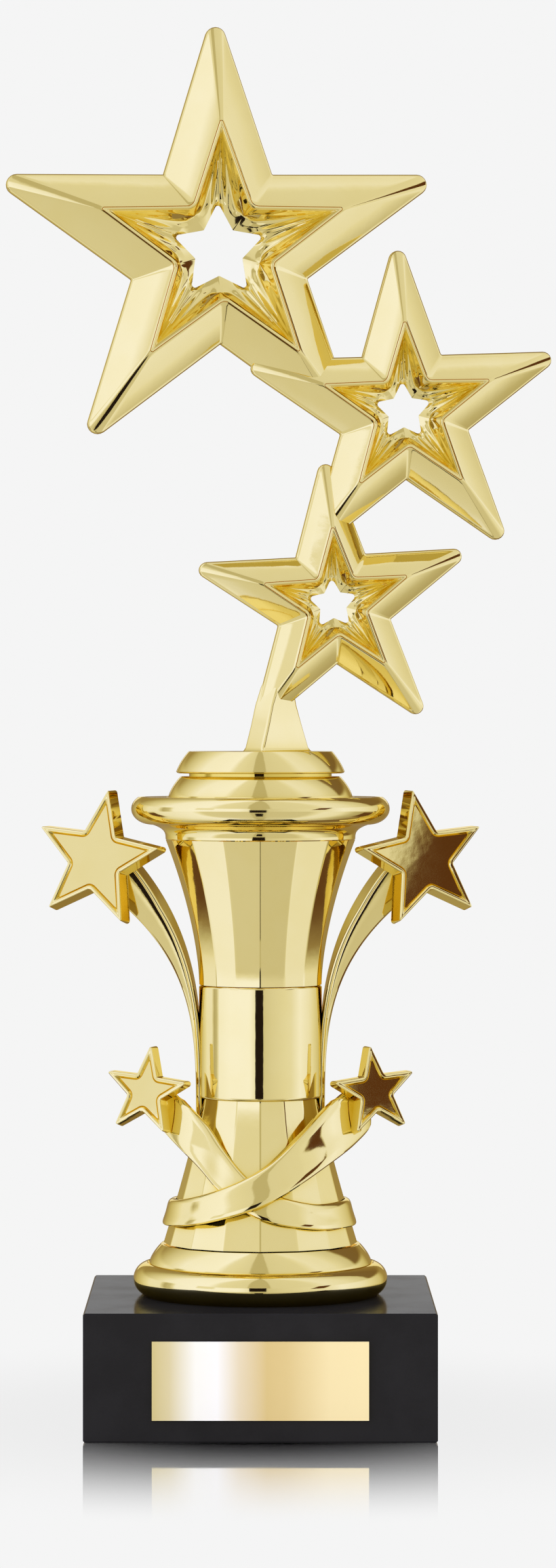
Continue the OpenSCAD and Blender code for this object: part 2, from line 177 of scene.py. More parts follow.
# %% The surrounding dome
def dome_stops(table):
    """Ramp stops from rows of (degrees right of the camera, brightness)."""
    return [((degrees + 180) / 360, grey) for degrees, grey in table]


BACKDROP, GLOW = 0.913, 1.85
tones = [(0.0, (0.012, 0.009, 0.008)), (0.1, (0.058, 0.022, 0.009)), (0.3, (0.17, 0.13, 0.08)),
         (0.5, (0.31, 0.295, 0.26)), (0.75, (0.46, 0.465, 0.54)), (1.0, (0.57, 0.61, 1.0))]
level_light = [(-180, 0.3), (-162, 0.35), (-140, 0.6), (-120, 0.85), (-104, 0.85), (-97, 0.45), (-90, 0.55),
               (-84, 0.95), (-60, 1.0), (-20, 1.0), (-10, 0.85), (-9, 0.5), (5, 0.5), (6, 0.62),
               (20, 0.68), (60, 0.78), (80, 0.95), (104, 0.85), (140, 0.6), (152, 0.35), (180, 0.3)]
high_light = [(-180, 0.3), (-150, 0.35), (-130, 0.6), (-95, 0.95), (-50, 1.0), (-40, 0.78), (-12, 0.7),
              (-11, 0.5), (9, 0.5), (10, 0.68), (50, 0.72), (65, 0.85), (90, 0.8), (118, 0.6), (124, 0.2),
              (150, 0.2), (180, 0.3)]
low_light = [(-180, 0.3), (-140, 0.6), (-100, 0.85), (-64, 0.95), (-54, 0.66), (-10, 0.62), (-9, 0.5),
             (5, 0.5), (6, 0.58), (45, 0.6), (60, 0.85), (80, 0.8), (96, 0.5), (110, 0.4), (135, 0.15),
             (146, 0.3), (180, 0.3)]


def dome_mask(tree, share, up, left, right, bottom, top, fade=0.006):
    """1 inside a patch of the dome, in degrees round the horizon and above it; fade softens its height."""
    side_fade = 0.004
    steps = []
    for value, start, stop, soft in ((share, left / 360 + 0.5, right / 360 + 0.5, side_fade),
                                     (up, sin(radians(bottom)), sin(radians(top)), fade)):
        steps.append(smooth_step(tree, value, start - soft, start + soft))
        steps.append(smooth_step(tree, value, stop + soft, stop - soft))
    mask = steps[0]
    for step in steps[1:]:
        mask = math_node(tree, "MULTIPLY", mask, step)
    return mask


def make_dome():
    """World shader: a painted dome for light and reflections, a plain backdrop for the camera."""
    world = bpy.data.worlds.new("studio")
    bpy.context.scene.world = world
    world.use_nodes = True
    tree = world.node_tree
    tree.nodes.clear()
    place = node(tree, "ShaderNodeTexCoord")
    split = node(tree, "ShaderNodeSeparateXYZ")
    tree.links.new(place.outputs["Generated"], split.inputs[0])
    right, back, up = split.outputs
    turn = math_node(tree, "ARCTAN2", right, math_node(tree, "MULTIPLY", back, -1.0))
    share = math_node(tree, "ADD", math_node(tree, "DIVIDE", turn, 2 * pi), 0.5)
    level = ramp(tree, share, dome_stops(level_light))
    high = ramp(tree, share, dome_stops(high_light))
    low = ramp(tree, share, dome_stops(low_light))
    colour = mix_colour(tree, smooth_step(tree, up, 0.22, 0.34), level, high)
    colour = mix_colour(tree, smooth_step(tree, up, -0.12, -0.22), colour, low)
    slanted = math_node(tree, "SUBTRACT", share, math_node(tree, "MULTIPLY", up, 0.12))
    colour = mix_colour(tree, dome_mask(tree, slanted, up, 42, 56, 5, 18.5), colour, (0.1, 0.1, 0.1))
    colour = mix_colour(tree, dome_mask(tree, share, up, -60, -42, 5, 18.5), colour, (0.78, 0.78, 0.78))
    for left, right in ((-128, -112), (108, 128)):
        colour = mix_colour(tree, dome_mask(tree, share, up, left, right, -36, -14, 0.07), colour,
                            (0.12, 0.12, 0.12))
    colour = ramp(tree, colour, tones)
    back_wall = dome_mask(tree, back, up, 165, 200, 4, 14)
    colour = mix_colour(tree, back_wall, colour, (BACKDROP / GLOW, BACKDROP / GLOW, BACKDROP / GLOW))
    light = node(tree, "ShaderNodeBackground", {"Strength": GLOW})
    tree.links.new(colour, light.inputs["Color"])
    plain = node(tree, "ShaderNodeBackground", {"Color": (BACKDROP, BACKDROP, BACKDROP, 1)})
    seen = node(tree, "ShaderNodeLightPath")
    mix = node(tree, "ShaderNodeMixShader")
    tree.links.new(seen.outputs["Is Camera Ray"], mix.inputs[0])
    tree.links.new(light.outputs[0], mix.inputs[1])
    tree.links.new(plain.outputs[0], mix.inputs[2])
    output = node(tree, "ShaderNodeOutputWorld")
    tree.links.new(mix.outputs[0], output.inputs[0])
    return world


make_dome()
print("dome", len(level_light), "stops round the horizon")

# %% Dark cards in front, seen only in the gold
CARD_Y = -0.5


def make_card(name, left, right, bottom, top):
    """A dark card half a metre in front that only glossy surfaces see."""
    mesh = bpy.data.meshes.new(name)
    corners = [(left, CARD_Y, bottom), (right, CARD_Y, bottom), (right, CARD_Y, top), (left, CARD_Y, top)]
    mesh.from_pydata(corners, [], [(0, 1, 2, 3)])
    card = bpy.data.objects.new(name, mesh)
    bpy.context.scene.collection.objects.link(card)
    material = bpy.data.materials.new(name)
    material.use_nodes = True
    shader = material.node_tree.nodes["Principled BSDF"]
    shader.inputs["Base Color"].default_value = (0.034, 0.024, 0.03, 1)
    shader.inputs["Roughness"].default_value = 0.9
    shader.inputs["Specular IOR Level"].default_value = 0.0
    mesh.materials.append(material)
    card.visible_camera = False
    card.visible_diffuse = False
    card.visible_shadow = False
    return card


make_card("tall_card", -0.084, 0.046, 0.0, 0.188)
make_card("low_card", -0.045, 0.02, -0.5, -0.08)
print("cards made")

# %% Soft light for the block and plate
lamp_data = bpy.data.lights.new("low_front_light", "AREA")
lamp_data.size = 0.4
lamp_data.energy = 1.5
lamp_data.color = (1.0, 0.95, 0.75)
lamp = bpy.data.objects.new("low_front_light", lamp_data)
lamp.location = (0, -0.7, 0.12)
lamp.rotation_euler = (radians(86), 0, 0)
lamp.visible_glossy = False
bpy.context.scene.collection.objects.link(lamp)
print("lamp", lamp_data.energy)

# %% [markdown]
# ## Finishes
# Every finish starts from one shared group, a soft grain at two sizes. It gives a height for bump and a
# mask for colour and roughness. Separate textures in each material would repeat the same nodes.

# %% Shared grain group
def grain_group():
    """Node group: noise at two sizes, mixed by a share, as a height and as a contrasted mask."""
    tree = bpy.data.node_groups.new("soft_grain", "ShaderNodeTree")
    for name, value in (("Scale", 100.0), ("Fine Scale", 900.0), ("Fine Share", 0.3)):
        tree.interface.new_socket(name, in_out="INPUT", socket_type="NodeSocketFloat").default_value = value
    for name in ("Height", "Mask"):
        tree.interface.new_socket(name, in_out="OUTPUT", socket_type="NodeSocketFloat")
    given = node(tree, "NodeGroupInput")
    put_out = node(tree, "NodeGroupOutput")
    place = node(tree, "ShaderNodeTexCoord")
    noises = []
    for scale_name in ("Scale", "Fine Scale"):
        noise = node(tree, "ShaderNodeTexNoise", {"Detail": 3.0, "Roughness": 0.55})
        tree.links.new(place.outputs["Object"], noise.inputs["Vector"])
        tree.links.new(given.outputs[scale_name], noise.inputs["Scale"])
        noises.append(noise.outputs[0])
    blend = node(tree, "ShaderNodeMix", data_type="FLOAT")
    tree.links.new(given.outputs["Fine Share"], blend.inputs[0])
    tree.links.new(noises[0], blend.inputs[2])
    tree.links.new(noises[1], blend.inputs[3])
    tree.links.new(blend.outputs[0], put_out.inputs["Height"])
    tree.links.new(smooth_step(tree, blend.outputs[0], 0.35, 0.65), put_out.inputs["Mask"])
    return tree


GRAIN = grain_group()
print("group", GRAIN.name)


# %% A finish built on the grain
def finish_on_grain(name, pale, dark, rough, bump, scales, metallic=0.0, **sockets):
    """Principled material: colour and roughness follow the grain's mask, bump its height."""
    material = bpy.data.materials.new(name)
    material.use_nodes = True
    tree = material.node_tree
    shader = tree.nodes["Principled BSDF"]
    shader.inputs["Metallic"].default_value = metallic
    for socket, value in sockets.items():
        shader.inputs[socket.replace("_", " ")].default_value = value
    grain = node(tree, "ShaderNodeGroup", node_tree=GRAIN)
    for socket, value in zip(("Scale", "Fine Scale", "Fine Share"), scales):
        grain.inputs[socket].default_value = value
    mask = grain.outputs["Mask"]
    tree.links.new(mix_colour(tree, mask, dark, pale), shader.inputs["Base Color"])
    spread = node(tree, "ShaderNodeMapRange")
    tree.links.new(mask, spread.inputs["Value"])
    spread.inputs["To Min"].default_value = rough[0]
    spread.inputs["To Max"].default_value = rough[1]
    tree.links.new(spread.outputs[0], shader.inputs["Roughness"])
    relief = node(tree, "ShaderNodeBump", {"Strength": bump[0], "Distance": bump[1]})
    tree.links.new(grain.outputs["Height"], relief.inputs["Height"])
    tree.links.new(relief.outputs[0], shader.inputs["Normal"])
    return material


gilt = finish_on_grain("gilt", (0.90, 0.765, 0.31), (0.89, 0.75, 0.29), (0.035, 0.06), (0.1, 0.0006),
                       (70.0, 1500.0, 0.03), metallic=1.0, Specular_Tint=(1.0, 0.88, 0.5, 1.0))
lacquer = finish_on_grain("black_lacquer", (0.024, 0.023, 0.022), (0.020, 0.019, 0.018), (0.10, 0.16),
                          (0.05, 0.0003), (60.0, 2500.0, 0.2), Specular_IOR_Level=0.006)
felt = finish_on_grain("felt", (0.03, 0.03, 0.03), (0.01, 0.01, 0.01), (0.85, 1.0), (0.8, 0.0004),
                       (900.0, 4000.0, 0.5), Sheen_Weight=0.5)
steel = finish_on_grain("zinc_steel", (0.62, 0.63, 0.65), (0.5, 0.51, 0.53), (0.22, 0.36), (0.15, 0.0002),
                        (400.0, 3000.0, 0.4), metallic=1.0)
brass = finish_on_grain("brass", (0.80, 0.58, 0.24), (0.70, 0.48, 0.18), (0.2, 0.3), (0.15, 0.0002),
                        (400.0, 3000.0, 0.4), metallic=1.0)
adhesive = finish_on_grain("foam_tape", (0.85, 0.85, 0.82), (0.75, 0.75, 0.72), (0.6, 0.8), (0.4, 0.0002),
                           (1500.0, 5000.0, 0.5))
print("finishes", len(bpy.data.materials))

# %% [markdown]
# The plate is satin foil with a painted sheen: soft bands of colour run across it as a colour ramp over the
# plate's own width. A real highlight would move with the studio, but these painted bands stay where they are.

# %% Foil for the plate
def make_foil_with_painted_sheen():
    """Satin foil with a painted sheen: soft bands of colour from the plate's left end to its right end."""
    material = finish_on_grain("satin_foil", (1.0, 1.0, 1.0), (0.97, 0.97, 0.97), (0.32, 0.4),
                               (0.05, 0.0001), (300.0, 3000.0, 0.5), Specular_IOR_Level=0.25)
    tree = material.node_tree
    shader = tree.nodes["Principled BSDF"]
    low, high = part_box("name_plate")
    place = node(tree, "ShaderNodeTexCoord")
    split = node(tree, "ShaderNodeSeparateXYZ")
    tree.links.new(place.outputs["Object"], split.inputs[0])
    share = node(tree, "ShaderNodeMapRange", {"From Min": low[0], "From Max": high[0]})
    tree.links.new(split.outputs[0], share.inputs["Value"])
    # Painted sheen: pale and deep gold bands stand in for the plate's reflections.
    bands = ramp(tree, share.outputs[0], [
        (0.0, (0.66, 0.55, 0.22)), (0.08, (0.74, 0.64, 0.34)), (0.2, (0.98, 0.96, 0.82)),
        (0.3, (1.0, 0.98, 0.88)), (0.4, (0.84, 0.72, 0.47)), (0.53, (0.74, 0.56, 0.22)),
        (0.62, (0.77, 0.59, 0.24)), (0.82, (0.95, 0.79, 0.40)), (1.0, (0.97, 0.81, 0.41))])
    tree.links.new(bands, shader.inputs["Base Color"])
    return material


def paint_shade_in_hollows(material, deep):
    """Painted shade in hollows: the gold's colour deepens where little of the room is seen, in place of light
    bounced between gold faces.
    """
    tree = material.node_tree
    shader = tree.nodes["Principled BSDF"]
    plain = shader.inputs["Base Color"].links[0].from_socket
    hollow = node(tree, "ShaderNodeAmbientOcclusion", {"Distance": 0.007}, samples=6)
    openness = smooth_step(tree, hollow.outputs["AO"], 0.3, 0.85)
    tree.links.new(mix_colour(tree, openness, deep, plain), shader.inputs["Base Color"])


# Painted shade: a deep gold is mixed into the gilt's colour in hollows and junctions.
paint_shade_in_hollows(gilt, (0.80, 0.61, 0.11))
foil = make_foil_with_painted_sheen()
print("foil", foil.name)

# %% [markdown]
# ## Building in rings
# Nearly every piece is a skin over rings: a stack of closed outlines with the same number of points. It
# gives clean quads that follow the shape, where a boolean of solids would leave slivers.

# %% Skin over rings
def skin(rings, loop=False):
    """Faces between consecutive rings; loop joins the last ring to the first, else both ends close."""
    count = len(rings[0])
    points = [p for ring in rings for p in ring]
    spans = len(rings) if loop else len(rings) - 1
    faces = []
    for k in range(spans):
        a, b = k * count, ((k + 1) % len(rings)) * count
        for i in range(count):
            j = (i + 1) % count
            faces.append((a + i, a + j, b + j, b + i))
    if not loop:
        for start in (0, (len(rings) - 1) * count):
            middle = [sum(p[k] for p in points[start:start + count]) / count for k in range(3)]
            points.append(middle)
            faces += [(start + i, start + (i + 1) % count, len(points) - 1) for i in range(count)]
    return points, faces


def add_piece(name, solids, body, nodes, material, sharp=32):
    """A piece from one or more closed skins in millimetres, shaded smooth between its sharp edges."""
    shape = bmesh.new()
    for points, faces in solids:
        corners = [shape.verts.new([c * MM for c in p]) for p in points]
        for face in faces:
            shape.faces.new([corners[i] for i in face])
    bmesh.ops.remove_doubles(shape, verts=shape.verts, dist=1e-7)
    bmesh.ops.recalc_face_normals(shape, faces=shape.faces)
    mesh = bpy.data.meshes.new(name)
    shape.to_mesh(mesh)
    shape.free()
    mesh.shade_smooth()
    mesh.set_sharp_from_angle(angle=radians(sharp))
    mesh.materials.append(material)
    piece = bpy.data.objects.new(name, mesh)
    bpy.context.scene.collection.objects.link(piece)
    even = piece.modifiers.new("flat_faces_stay_flat", "WEIGHTED_NORMAL")
    even.keep_sharp = True
    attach(piece, body)
    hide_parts(*nodes)
    print(name, len(mesh.vertices), "points")
    return piece


# %% [markdown]
# ## Turned pieces
# The foot, waist, rim, lid and the figure's foot are bodies of revolution. Their profiles are short
# lists with elliptical arcs for the rolled edges, turned in 160 steps so that no flat shows.

# %% Arcs and lathe
def arc(cx, cz, rx, rz, start, stop, steps):
    """Points of an elliptical arc in a profile, angles in degrees."""
    turns = [radians(start + (stop - start) * i / steps) for i in range(steps + 1)]
    return [(cx + rx * cos(a), cz + rz * sin(a)) for a in turns]


def slant(r0, z0, r1, z1, bulge, steps=10):
    """Points of a slanted wall in a profile that bulges a little in its middle."""
    shares = [k / steps for k in range(steps + 1)]
    return [(r0 + (r1 - r0) * t + 4 * bulge * t * (1 - t), z0 + (z1 - z0) * t) for t in shares]


def lathe(profile, steps=160):
    """A closed ring of profile turned round the trophy's axis."""
    rings = []
    for k in range(steps):
        a = 2 * pi * k / steps
        rings.append([(r * cos(a), r * sin(a), z) for r, z in profile])
    return skin(rings, loop=True)


def stand_piece(name, solid, nodes=None, sharp=32):
    """A gilt piece of the column, which rides on the stand."""
    return add_piece(name, [solid], "stand", nodes or [name.replace("_skin", "")], gilt, sharp)


# %% Foot and waist
wall = 1.8
step_z = foot_bottom + 8.4
stand_piece("column_foot_skin", lathe(
    [(foot_r - 8, foot_bottom), (foot_r - 2.6, foot_bottom), (foot_r - 2.2, foot_bottom + 0.3)]
    + arc(foot_r - 4, foot_bottom + 4.2, 4, 4.2, -54, 84, 26)
    + [(foot_r - 3.9, step_z - 0.35), (foot_r - 4.1, step_z - 0.25)]
    + slant(foot_r - 4.1, step_z, flare_r + 0.9, flare_bottom - 0.55, 0.4)
    + [(flare_r + 0.65, flare_bottom - 0.3), (flare_r + 0.2, flare_bottom - 0.2),
       (flare_r - 0.4, flare_bottom - 0.4), (flare_r - 3, flare_bottom - 0.4),
       (flare_r - 4, flare_bottom - 2)]))
soft = 0.8
stand_piece("waist_sleeve_skin", lathe(
    [(waist_r - 2.4, waist_bottom), (waist_r - soft - 0.4, waist_bottom)]
    + arc(waist_r - soft, waist_bottom + soft, soft, soft, -70, 0, 6)
    + [(waist_r, (waist_bottom + bell_bottom) / 2)]
    + arc(waist_r - soft, bell_bottom - soft, soft, soft, 0, 70, 6)
    + [(waist_r - soft - 0.4, bell_bottom), (waist_r - 2.4, bell_bottom)]))

# %% Rim, lid and the figure's foot
rim_bottom = collar_bottom + 4
roll_h = 0.57 * (rim_top - rim_bottom)
roll_w = 5.3
collar_r = rim_r - 5.6
collar_curve = 3.2
stand_piece("cup_rim_skin", lathe(
    [(bell_r - wall, collar_bottom), (bell_r - 0.3, collar_bottom), (bell_r, collar_bottom + 0.25)]
    + [(bell_r + (collar_r - bell_r) * t ** collar_curve, collar_bottom + 0.3 + 3.65 * t)
       for t in (0.1, 0.25, 0.4, 0.5, 0.6, 0.7, 0.8, 0.9, 1.0)]
    + arc(rim_r - roll_w, rim_bottom + roll_h, roll_w, roll_h, -88, 49, 26)
    + [(rim_r - 2.2, rim_top - 0.15), (rim_r - 3, rim_top), (lid_r + 0.6, rim_top),
       (lid_r + 0.3, rim_top - 0.3), (lid_r + 0.3, rim_top - 2), (lid_r - 3, rim_top - 2),
       (lid_r - 3, rim_top - 4), (bell_r - wall, rim_bottom)]))
stand_piece("cup_lid_skin", lathe(
    [(lid_r - 2.5, rim_top - 2), (lid_r, rim_top - 2)]
    + slant(lid_r, rim_top, lid_r - 3.0, lid_top - 1.05, 0.4)
    + [(lid_r - 3.3, lid_top - 0.8), (disc_r - 3.4, lid_top - 0.75), (disc_r - 3.4, lid_top),
       (6.4, lid_top), (6.4, lid_top - 2.4), (lid_r - 6.5, lid_top - 2.4)]))
add_piece("figure_foot_skin", [lathe(
    [(disc_r - 4, disc_bottom), (disc_r - 0.7, disc_bottom), (disc_r - 0.25, disc_bottom + 0.15)]
    + slant(disc_r, disc_bottom + 0.45, disc_r - 3.0, stem_bottom - 0.3, 0.3)
    + [(disc_r - 3.2, stem_bottom - 0.08), (disc_r - 3.5, stem_bottom), (0.5, stem_bottom),
       (0.5, stem_bottom - 3), (disc_r - 6.6, stem_bottom - 3)])],
    "figure", ["figure_foot"], gilt)

# %% [markdown]
# ## Fluted column
# The flare and the bell have sixteen flat facets. A plain sixteen-sided loft would be too hard: moulded
# facets meet in a small round, and the round at the front is what mirrors the dark card.

# %% Fluted pieces
FACETS = 16
FACET_ROUND = 2.4
FLARE_CURVE, BELL_CURVE = 1.18, 1.65
FLARE_NECK = 0.5
INNER_SHARE = 0.9


def column_r(z):
    """Radius across the facet edges at height z; the waist between flare and bell is plain."""
    if z < flare_bottom:
        return flare_r
    if z < waist_bottom:
        share = (waist_bottom - z) / (waist_bottom - flare_bottom)
        return waist_r - FLARE_NECK + (flare_r - waist_r + FLARE_NECK) * share ** FLARE_CURVE
    if z < bell_bottom:
        return waist_r
    share = min(1.0, (z - bell_bottom) / (collar_bottom - bell_bottom))
    return waist_r + (bell_r - waist_r) * share ** BELL_CURVE


def facet_ring(r, z, round_r, steps=4):
    """A sixteen-sided ring whose corners are rounded, with a corner at the front."""
    half = pi / FACETS
    centre = r - round_r / cos(half)
    ring = []
    for i in range(FACETS):
        a = -pi / 2 + 2 * pi * i / FACETS
        for k in range(steps + 1):
            b = a + half * (2 * k / steps - 1)
            ring.append((centre * cos(a) + round_r * cos(b), centre * sin(a) + round_r * sin(b), z))
    return ring


def fluted(low, high, steps):
    """A hollow fluted shell between two heights."""
    inside = 1e-4
    outer = []
    for k in range(steps + 1):
        z = low + (high - low) * k / steps
        r = column_r(min(max(z, low + inside), high - inside))
        outer.append(facet_ring(r, z, FACET_ROUND))
    inner = [[(x * INNER_SHARE, y * INNER_SHARE, z) for x, y, z in ring] for ring in reversed(outer)]
    return skin(outer + inner, loop=True)


stand_piece("lower_column_skin", fluted(flare_bottom, waist_bottom, 30), sharp=50)
stand_piece("upper_column_skin", fluted(bell_bottom, collar_bottom, 30), sharp=50)

# %% [markdown]
# ## Star outlines
# All stars come from one outline with rounded tips and rounded notches, and always the same number of
# points. Rings of different stars can then be skinned to each other, which makes roofs and funnels.

# %% Star outline
TIP_STEPS, EDGE_STEPS, NOTCH_STEPS = 8, 18, 6


def half_angle(tip, notch):
    """Half the angle of a star's arm at its sharp tip."""
    return atan2(notch * sin(pi / 5), tip - notch * cos(pi / 5))


def star(tip, notch, tip_r, notch_r):
    """Points (u, v) round a five-pointed star, counter-clockwise, the first arm upright."""
    lean = half_angle(tip, notch)
    outline = []
    for i in range(5):
        a = pi / 2 + i * 2 * pi / 5
        c = tip - tip_r / sin(lean)
        turns = [a + (pi / 2 - lean) * (2 * k / TIP_STEPS - 1) for k in range(TIP_STEPS + 1)]
        tip_arc = [(c * cos(a) + tip_r * cos(b), c * sin(a) + tip_r * sin(b)) for b in turns]
        n = a + pi / 5
        d = notch + notch_r / sin(pi / 5 + lean)
        spread = radians(54) - lean
        turns = [n + pi + spread * (1 - 2 * k / NOTCH_STEPS) for k in range(NOTCH_STEPS + 1)]
        notch_arc = [(d * cos(n) + notch_r * cos(b), d * sin(n) + notch_r * sin(b)) for b in turns]
        outline.append((tip_arc, notch_arc))
    ring = []
    for i, (tip_arc, notch_arc) in enumerate(outline):
        ring += tip_arc + between(tip_arc[-1], notch_arc[0]) + notch_arc
        ring += between(notch_arc[-1], outline[(i + 1) % 5][0][0])
    return ring


def between(p, q):
    """Evenly spaced points strictly between two points."""
    shares = [k / EDGE_STEPS for k in range(1, EDGE_STEPS)]
    return [(p[0] + (q[0] - p[0]) * t, p[1] + (q[1] - p[1]) * t) for t in shares]


def inset(tip, notch, tip_r, notch_r, d):
    """The same star moved inwards by d."""
    lean = half_angle(tip, notch)
    return star(tip - d / sin(lean), notch - d / sin(pi / 5 + lean), max(tip_r - d, 0.12), notch_r + d)


def lift(outline, w):
    """A flat outline at depth w towards the front."""
    return [(u, v, w) for u, v in outline]


print("outline points", len(star(10, 4, 0.5, 0.5)))

# %% [markdown]
# ## Pierced stars
# Each pierced star is two glued mouldings. From its outline, flat roofs rise to a raised bead, and
# inside the bead a pleated funnel falls to a star-shaped hole. The pleats fan out from each tip of the
# bead, so they are a wave in the angle about that tip, laid over the funnel as real relief.

# %% Pleated funnel
def pleats(u, v, apex, spread, count):
    """Height from 0 to 1 of the pleats that fan out from the nearest arm's inner tip."""
    a = pi / 2 + round((atan2(v, u) - pi / 2) / (2 * pi / 5)) * 2 * pi / 5
    along, across = u * cos(a) + v * sin(a), v * cos(a) - u * sin(a)
    fan = atan2(across, apex - along)
    fade = max(0.0, 1 - max(0.0, abs(fan) / spread - 0.85) / 0.15)
    return fade * (0.5 - 0.5 * cos(fan / spread * pi * count))


def funnel(start, stop, w0, w1, apex, spread, depth, steps=26):
    """Rings from the bead down to the hole, with pleats that deepen on the way."""
    rings = []
    for k in range(1, steps + 1):
        t = k / steps
        ring = []
        for (u0, v0), (u1, v1) in zip(start, stop):
            u, v = u0 + (u1 - u0) * t, v0 + (v1 - v0) * t
            w = w0 + (w1 - w0) * (1 - (1 - t) ** 1.4)
            w -= depth * min(1.0, 3 * t) * pleats(u, v, apex, spread, 5)
            ring.append((u, v, w))
        rings.append(ring)
    return rings


# %% Half of a pierced star
NOTCH_R, LIP_R = 0.4, 0.55
SHOULDER = 0.5
BEAD = [(0, -0.10), (0.10, -0.34), (0.20, -0.12), (0.36, -0.01), (0.58, 0), (0.80, -0.10), (0.92, -0.34),
        (1.06, -0.30)]
BEAD_W = BEAD[-1][0]
ROOF_SHARES = (0.04, 0.1, 0.2, 0.3, 0.4, 0.5, 0.6, 0.7, 0.8, 0.9, 0.96)


def between_rings(outer, inner, share, w):
    """The outline a share of the way from one flat outline to another, at depth w."""
    return [(p[0] + (q[0] - p[0]) * share, p[1] + (q[1] - p[1]) * share, w) for p, q in zip(outer, inner)]


def pierced_half(tip, half, lip_k, hole_k, tip_r):
    """Closed half of a pierced star, in its own plane (u, v) with depth w."""
    notch = 0.38 * tip
    lip, hole = lip_k * tip, hole_k * tip
    lip_notch = 0.395 * lip
    size = tip / 63
    lip_shape = (lip, lip_notch, LIP_R, 2.0 * size)
    bead_scale = 0.75 + 0.25 * size
    edge = 0.02
    rim = star(tip, notch, tip_r, NOTCH_R)
    rings = [lift(rim, edge), lift(rim, 0.08 * half)]
    for k in range(1, 5):
        a = k / 4 * pi / 2
        shoulder = inset(tip, notch, tip_r, NOTCH_R, SHOULDER * (1 - cos(a)))
        rings.append(lift(shoulder, half * (0.08 + 0.14 * sin(a))))
    outer = inset(tip, notch, tip_r, NOTCH_R, SHOULDER)
    inner = inset(*lip_shape, 0.0)
    for share in ROOF_SHARES:
        height = half * (0.22 + 0.78 * share) + 1.3 * size * share * (1 - share)
        rings.append(between_rings(outer, inner, share, height))
    for d, drop in BEAD:
        rings.append(lift(inset(*lip_shape, d * bead_scale), half + drop))
    start = inset(*lip_shape, BEAD_W * bead_scale)
    hole_front = star(hole + 0.6, 0.86 * hole, 0.8, 0.5)
    hole_middle = star(hole, 0.52 * hole, 0.8, 0.5)
    throat = 0.16 * half
    spread = half_angle(lip, lip_notch)
    apex = lip - BEAD_W / sin(spread)
    rings += funnel(start, hole_front, half - 0.3, throat, apex, spread, 0.05 * half)
    for k in range(1, 5):
        t = k / 4
        rings.append(between_rings(hole_front, hole_middle, t, throat * (1 - t) + edge * t))
    return skin(rings, loop=True)


# %% Place the stars of the figure
YAW = radians(10)
STEM_H = 33.6
SMALL = Vector((19.4, 0, stem_bottom + STEM_H + 5.1))
MIDDLE = SMALL + Vector((18.7, -0.8, 50.9))
LARGE = MIDDLE + Vector((-49.2, 0.8, 41.6))
figure_stars = [("small_star", SMALL, radians(3.4), 41.6, 6.0, 0.508, 0.169, 2.1),
                ("middle_star", MIDDLE, radians(2.3), 47.5, 6.6, 0.512, 0.17, 2.3),
                ("large_star", LARGE, radians(1), 64.6, 8.0, 0.534, 0.196, 2.7)]


def set_star(solid, side, centre, roll):
    """Stands a star half up in the figure: side 1 faces the front, -1 the back."""
    points, faces = solid
    placed = []
    for u, v, w in points:
        x, z = u * cos(roll) - v * sin(roll), u * sin(roll) + v * cos(roll)
        spot = Vector((x, -side * w, z)) + centre
        spot.rotate(Euler((0, 0, YAW)))
        placed.append(spot)
    return placed, faces


for name, centre, roll, tip, half, lip_k, hole_k, tip_r in figure_stars:
    solid = pierced_half(tip, half, lip_k, hole_k, tip_r)
    for part, side in (("front", 1), ("rear", -1)):
        add_piece(f"{name}_{part}_skin", [set_star(solid, side, centre, roll)], "figure",
                  [f"{name}_{part}"], gilt, sharp=30)

# %% [markdown]
# ## Stem
# The stem is a leaning, ridged blade that the small star's lower arm grows out of. Four-cornered rings
# with rounded corners carry it up, and two wider rings at the bottom make its small fillet.

# %% Stem
def rounded(corners, r, steps=4):
    """Closed outline through corners (x, y), each replaced by a small arc-like curve."""
    outline = []
    count = len(corners)
    for i, corner in enumerate(corners):
        here = Vector(corner)
        before, after = Vector(corners[i - 1]) - here, Vector(corners[(i + 1) % count]) - here
        start = here + before.normalized() * min(r, before.length * 0.45)
        stop = here + after.normalized() * min(r, after.length * 0.45)
        for k in range(steps + 1):
            t = k / steps
            spot = start.lerp(here, t).lerp(here.lerp(stop, t), t)
            outline.append((spot.x, spot.y))
    return outline


def stem_ring(left, ridge, right, depth, z, r=0.9):
    """One ring of the stem: left edge, front ridge, right edge, back ridge."""
    outline = rounded([(left, 0), (ridge, -depth), (right, 0), (ridge, depth)], r)
    ring = [Vector((x, y, z)) for x, y in outline]
    for spot in ring:
        spot.rotate(Euler((0, 0, YAW)))
    return ring


stem_rings = [stem_ring(-5.3, -0.8, 14.4, 8, stem_bottom - 0.2),
              stem_ring(-4.6, -0.75, 13.7, 7.4, stem_bottom + 0.25)]
stem_table = [(0.03, -4.1, -0.65, 13.1, 6.9), (0.2, -2.7, 0.8, 11.4, 6.2), (0.36, -1.6, 2.1, 9.9, 5.4),
              (0.5, -0.2, 3.9, 9.1, 3.9), (0.6, 1.4, 5.4, 8.8, 2.2)]
for share, left, ridge, right, depth in stem_table:
    stem_rings.append(stem_ring(left, ridge, right, depth, stem_bottom + share * STEM_H))
add_piece("figure_stem_skin", [skin(stem_rings)], "figure", ["figure_stem"], gilt, sharp=24)

# %% [markdown]
# ## Side stars
# The four side stars are solid, with drafted walls, a raised rim and a sunk panel. The rim's two edges
# are softened, because a moulded rim shows as two bright lines.

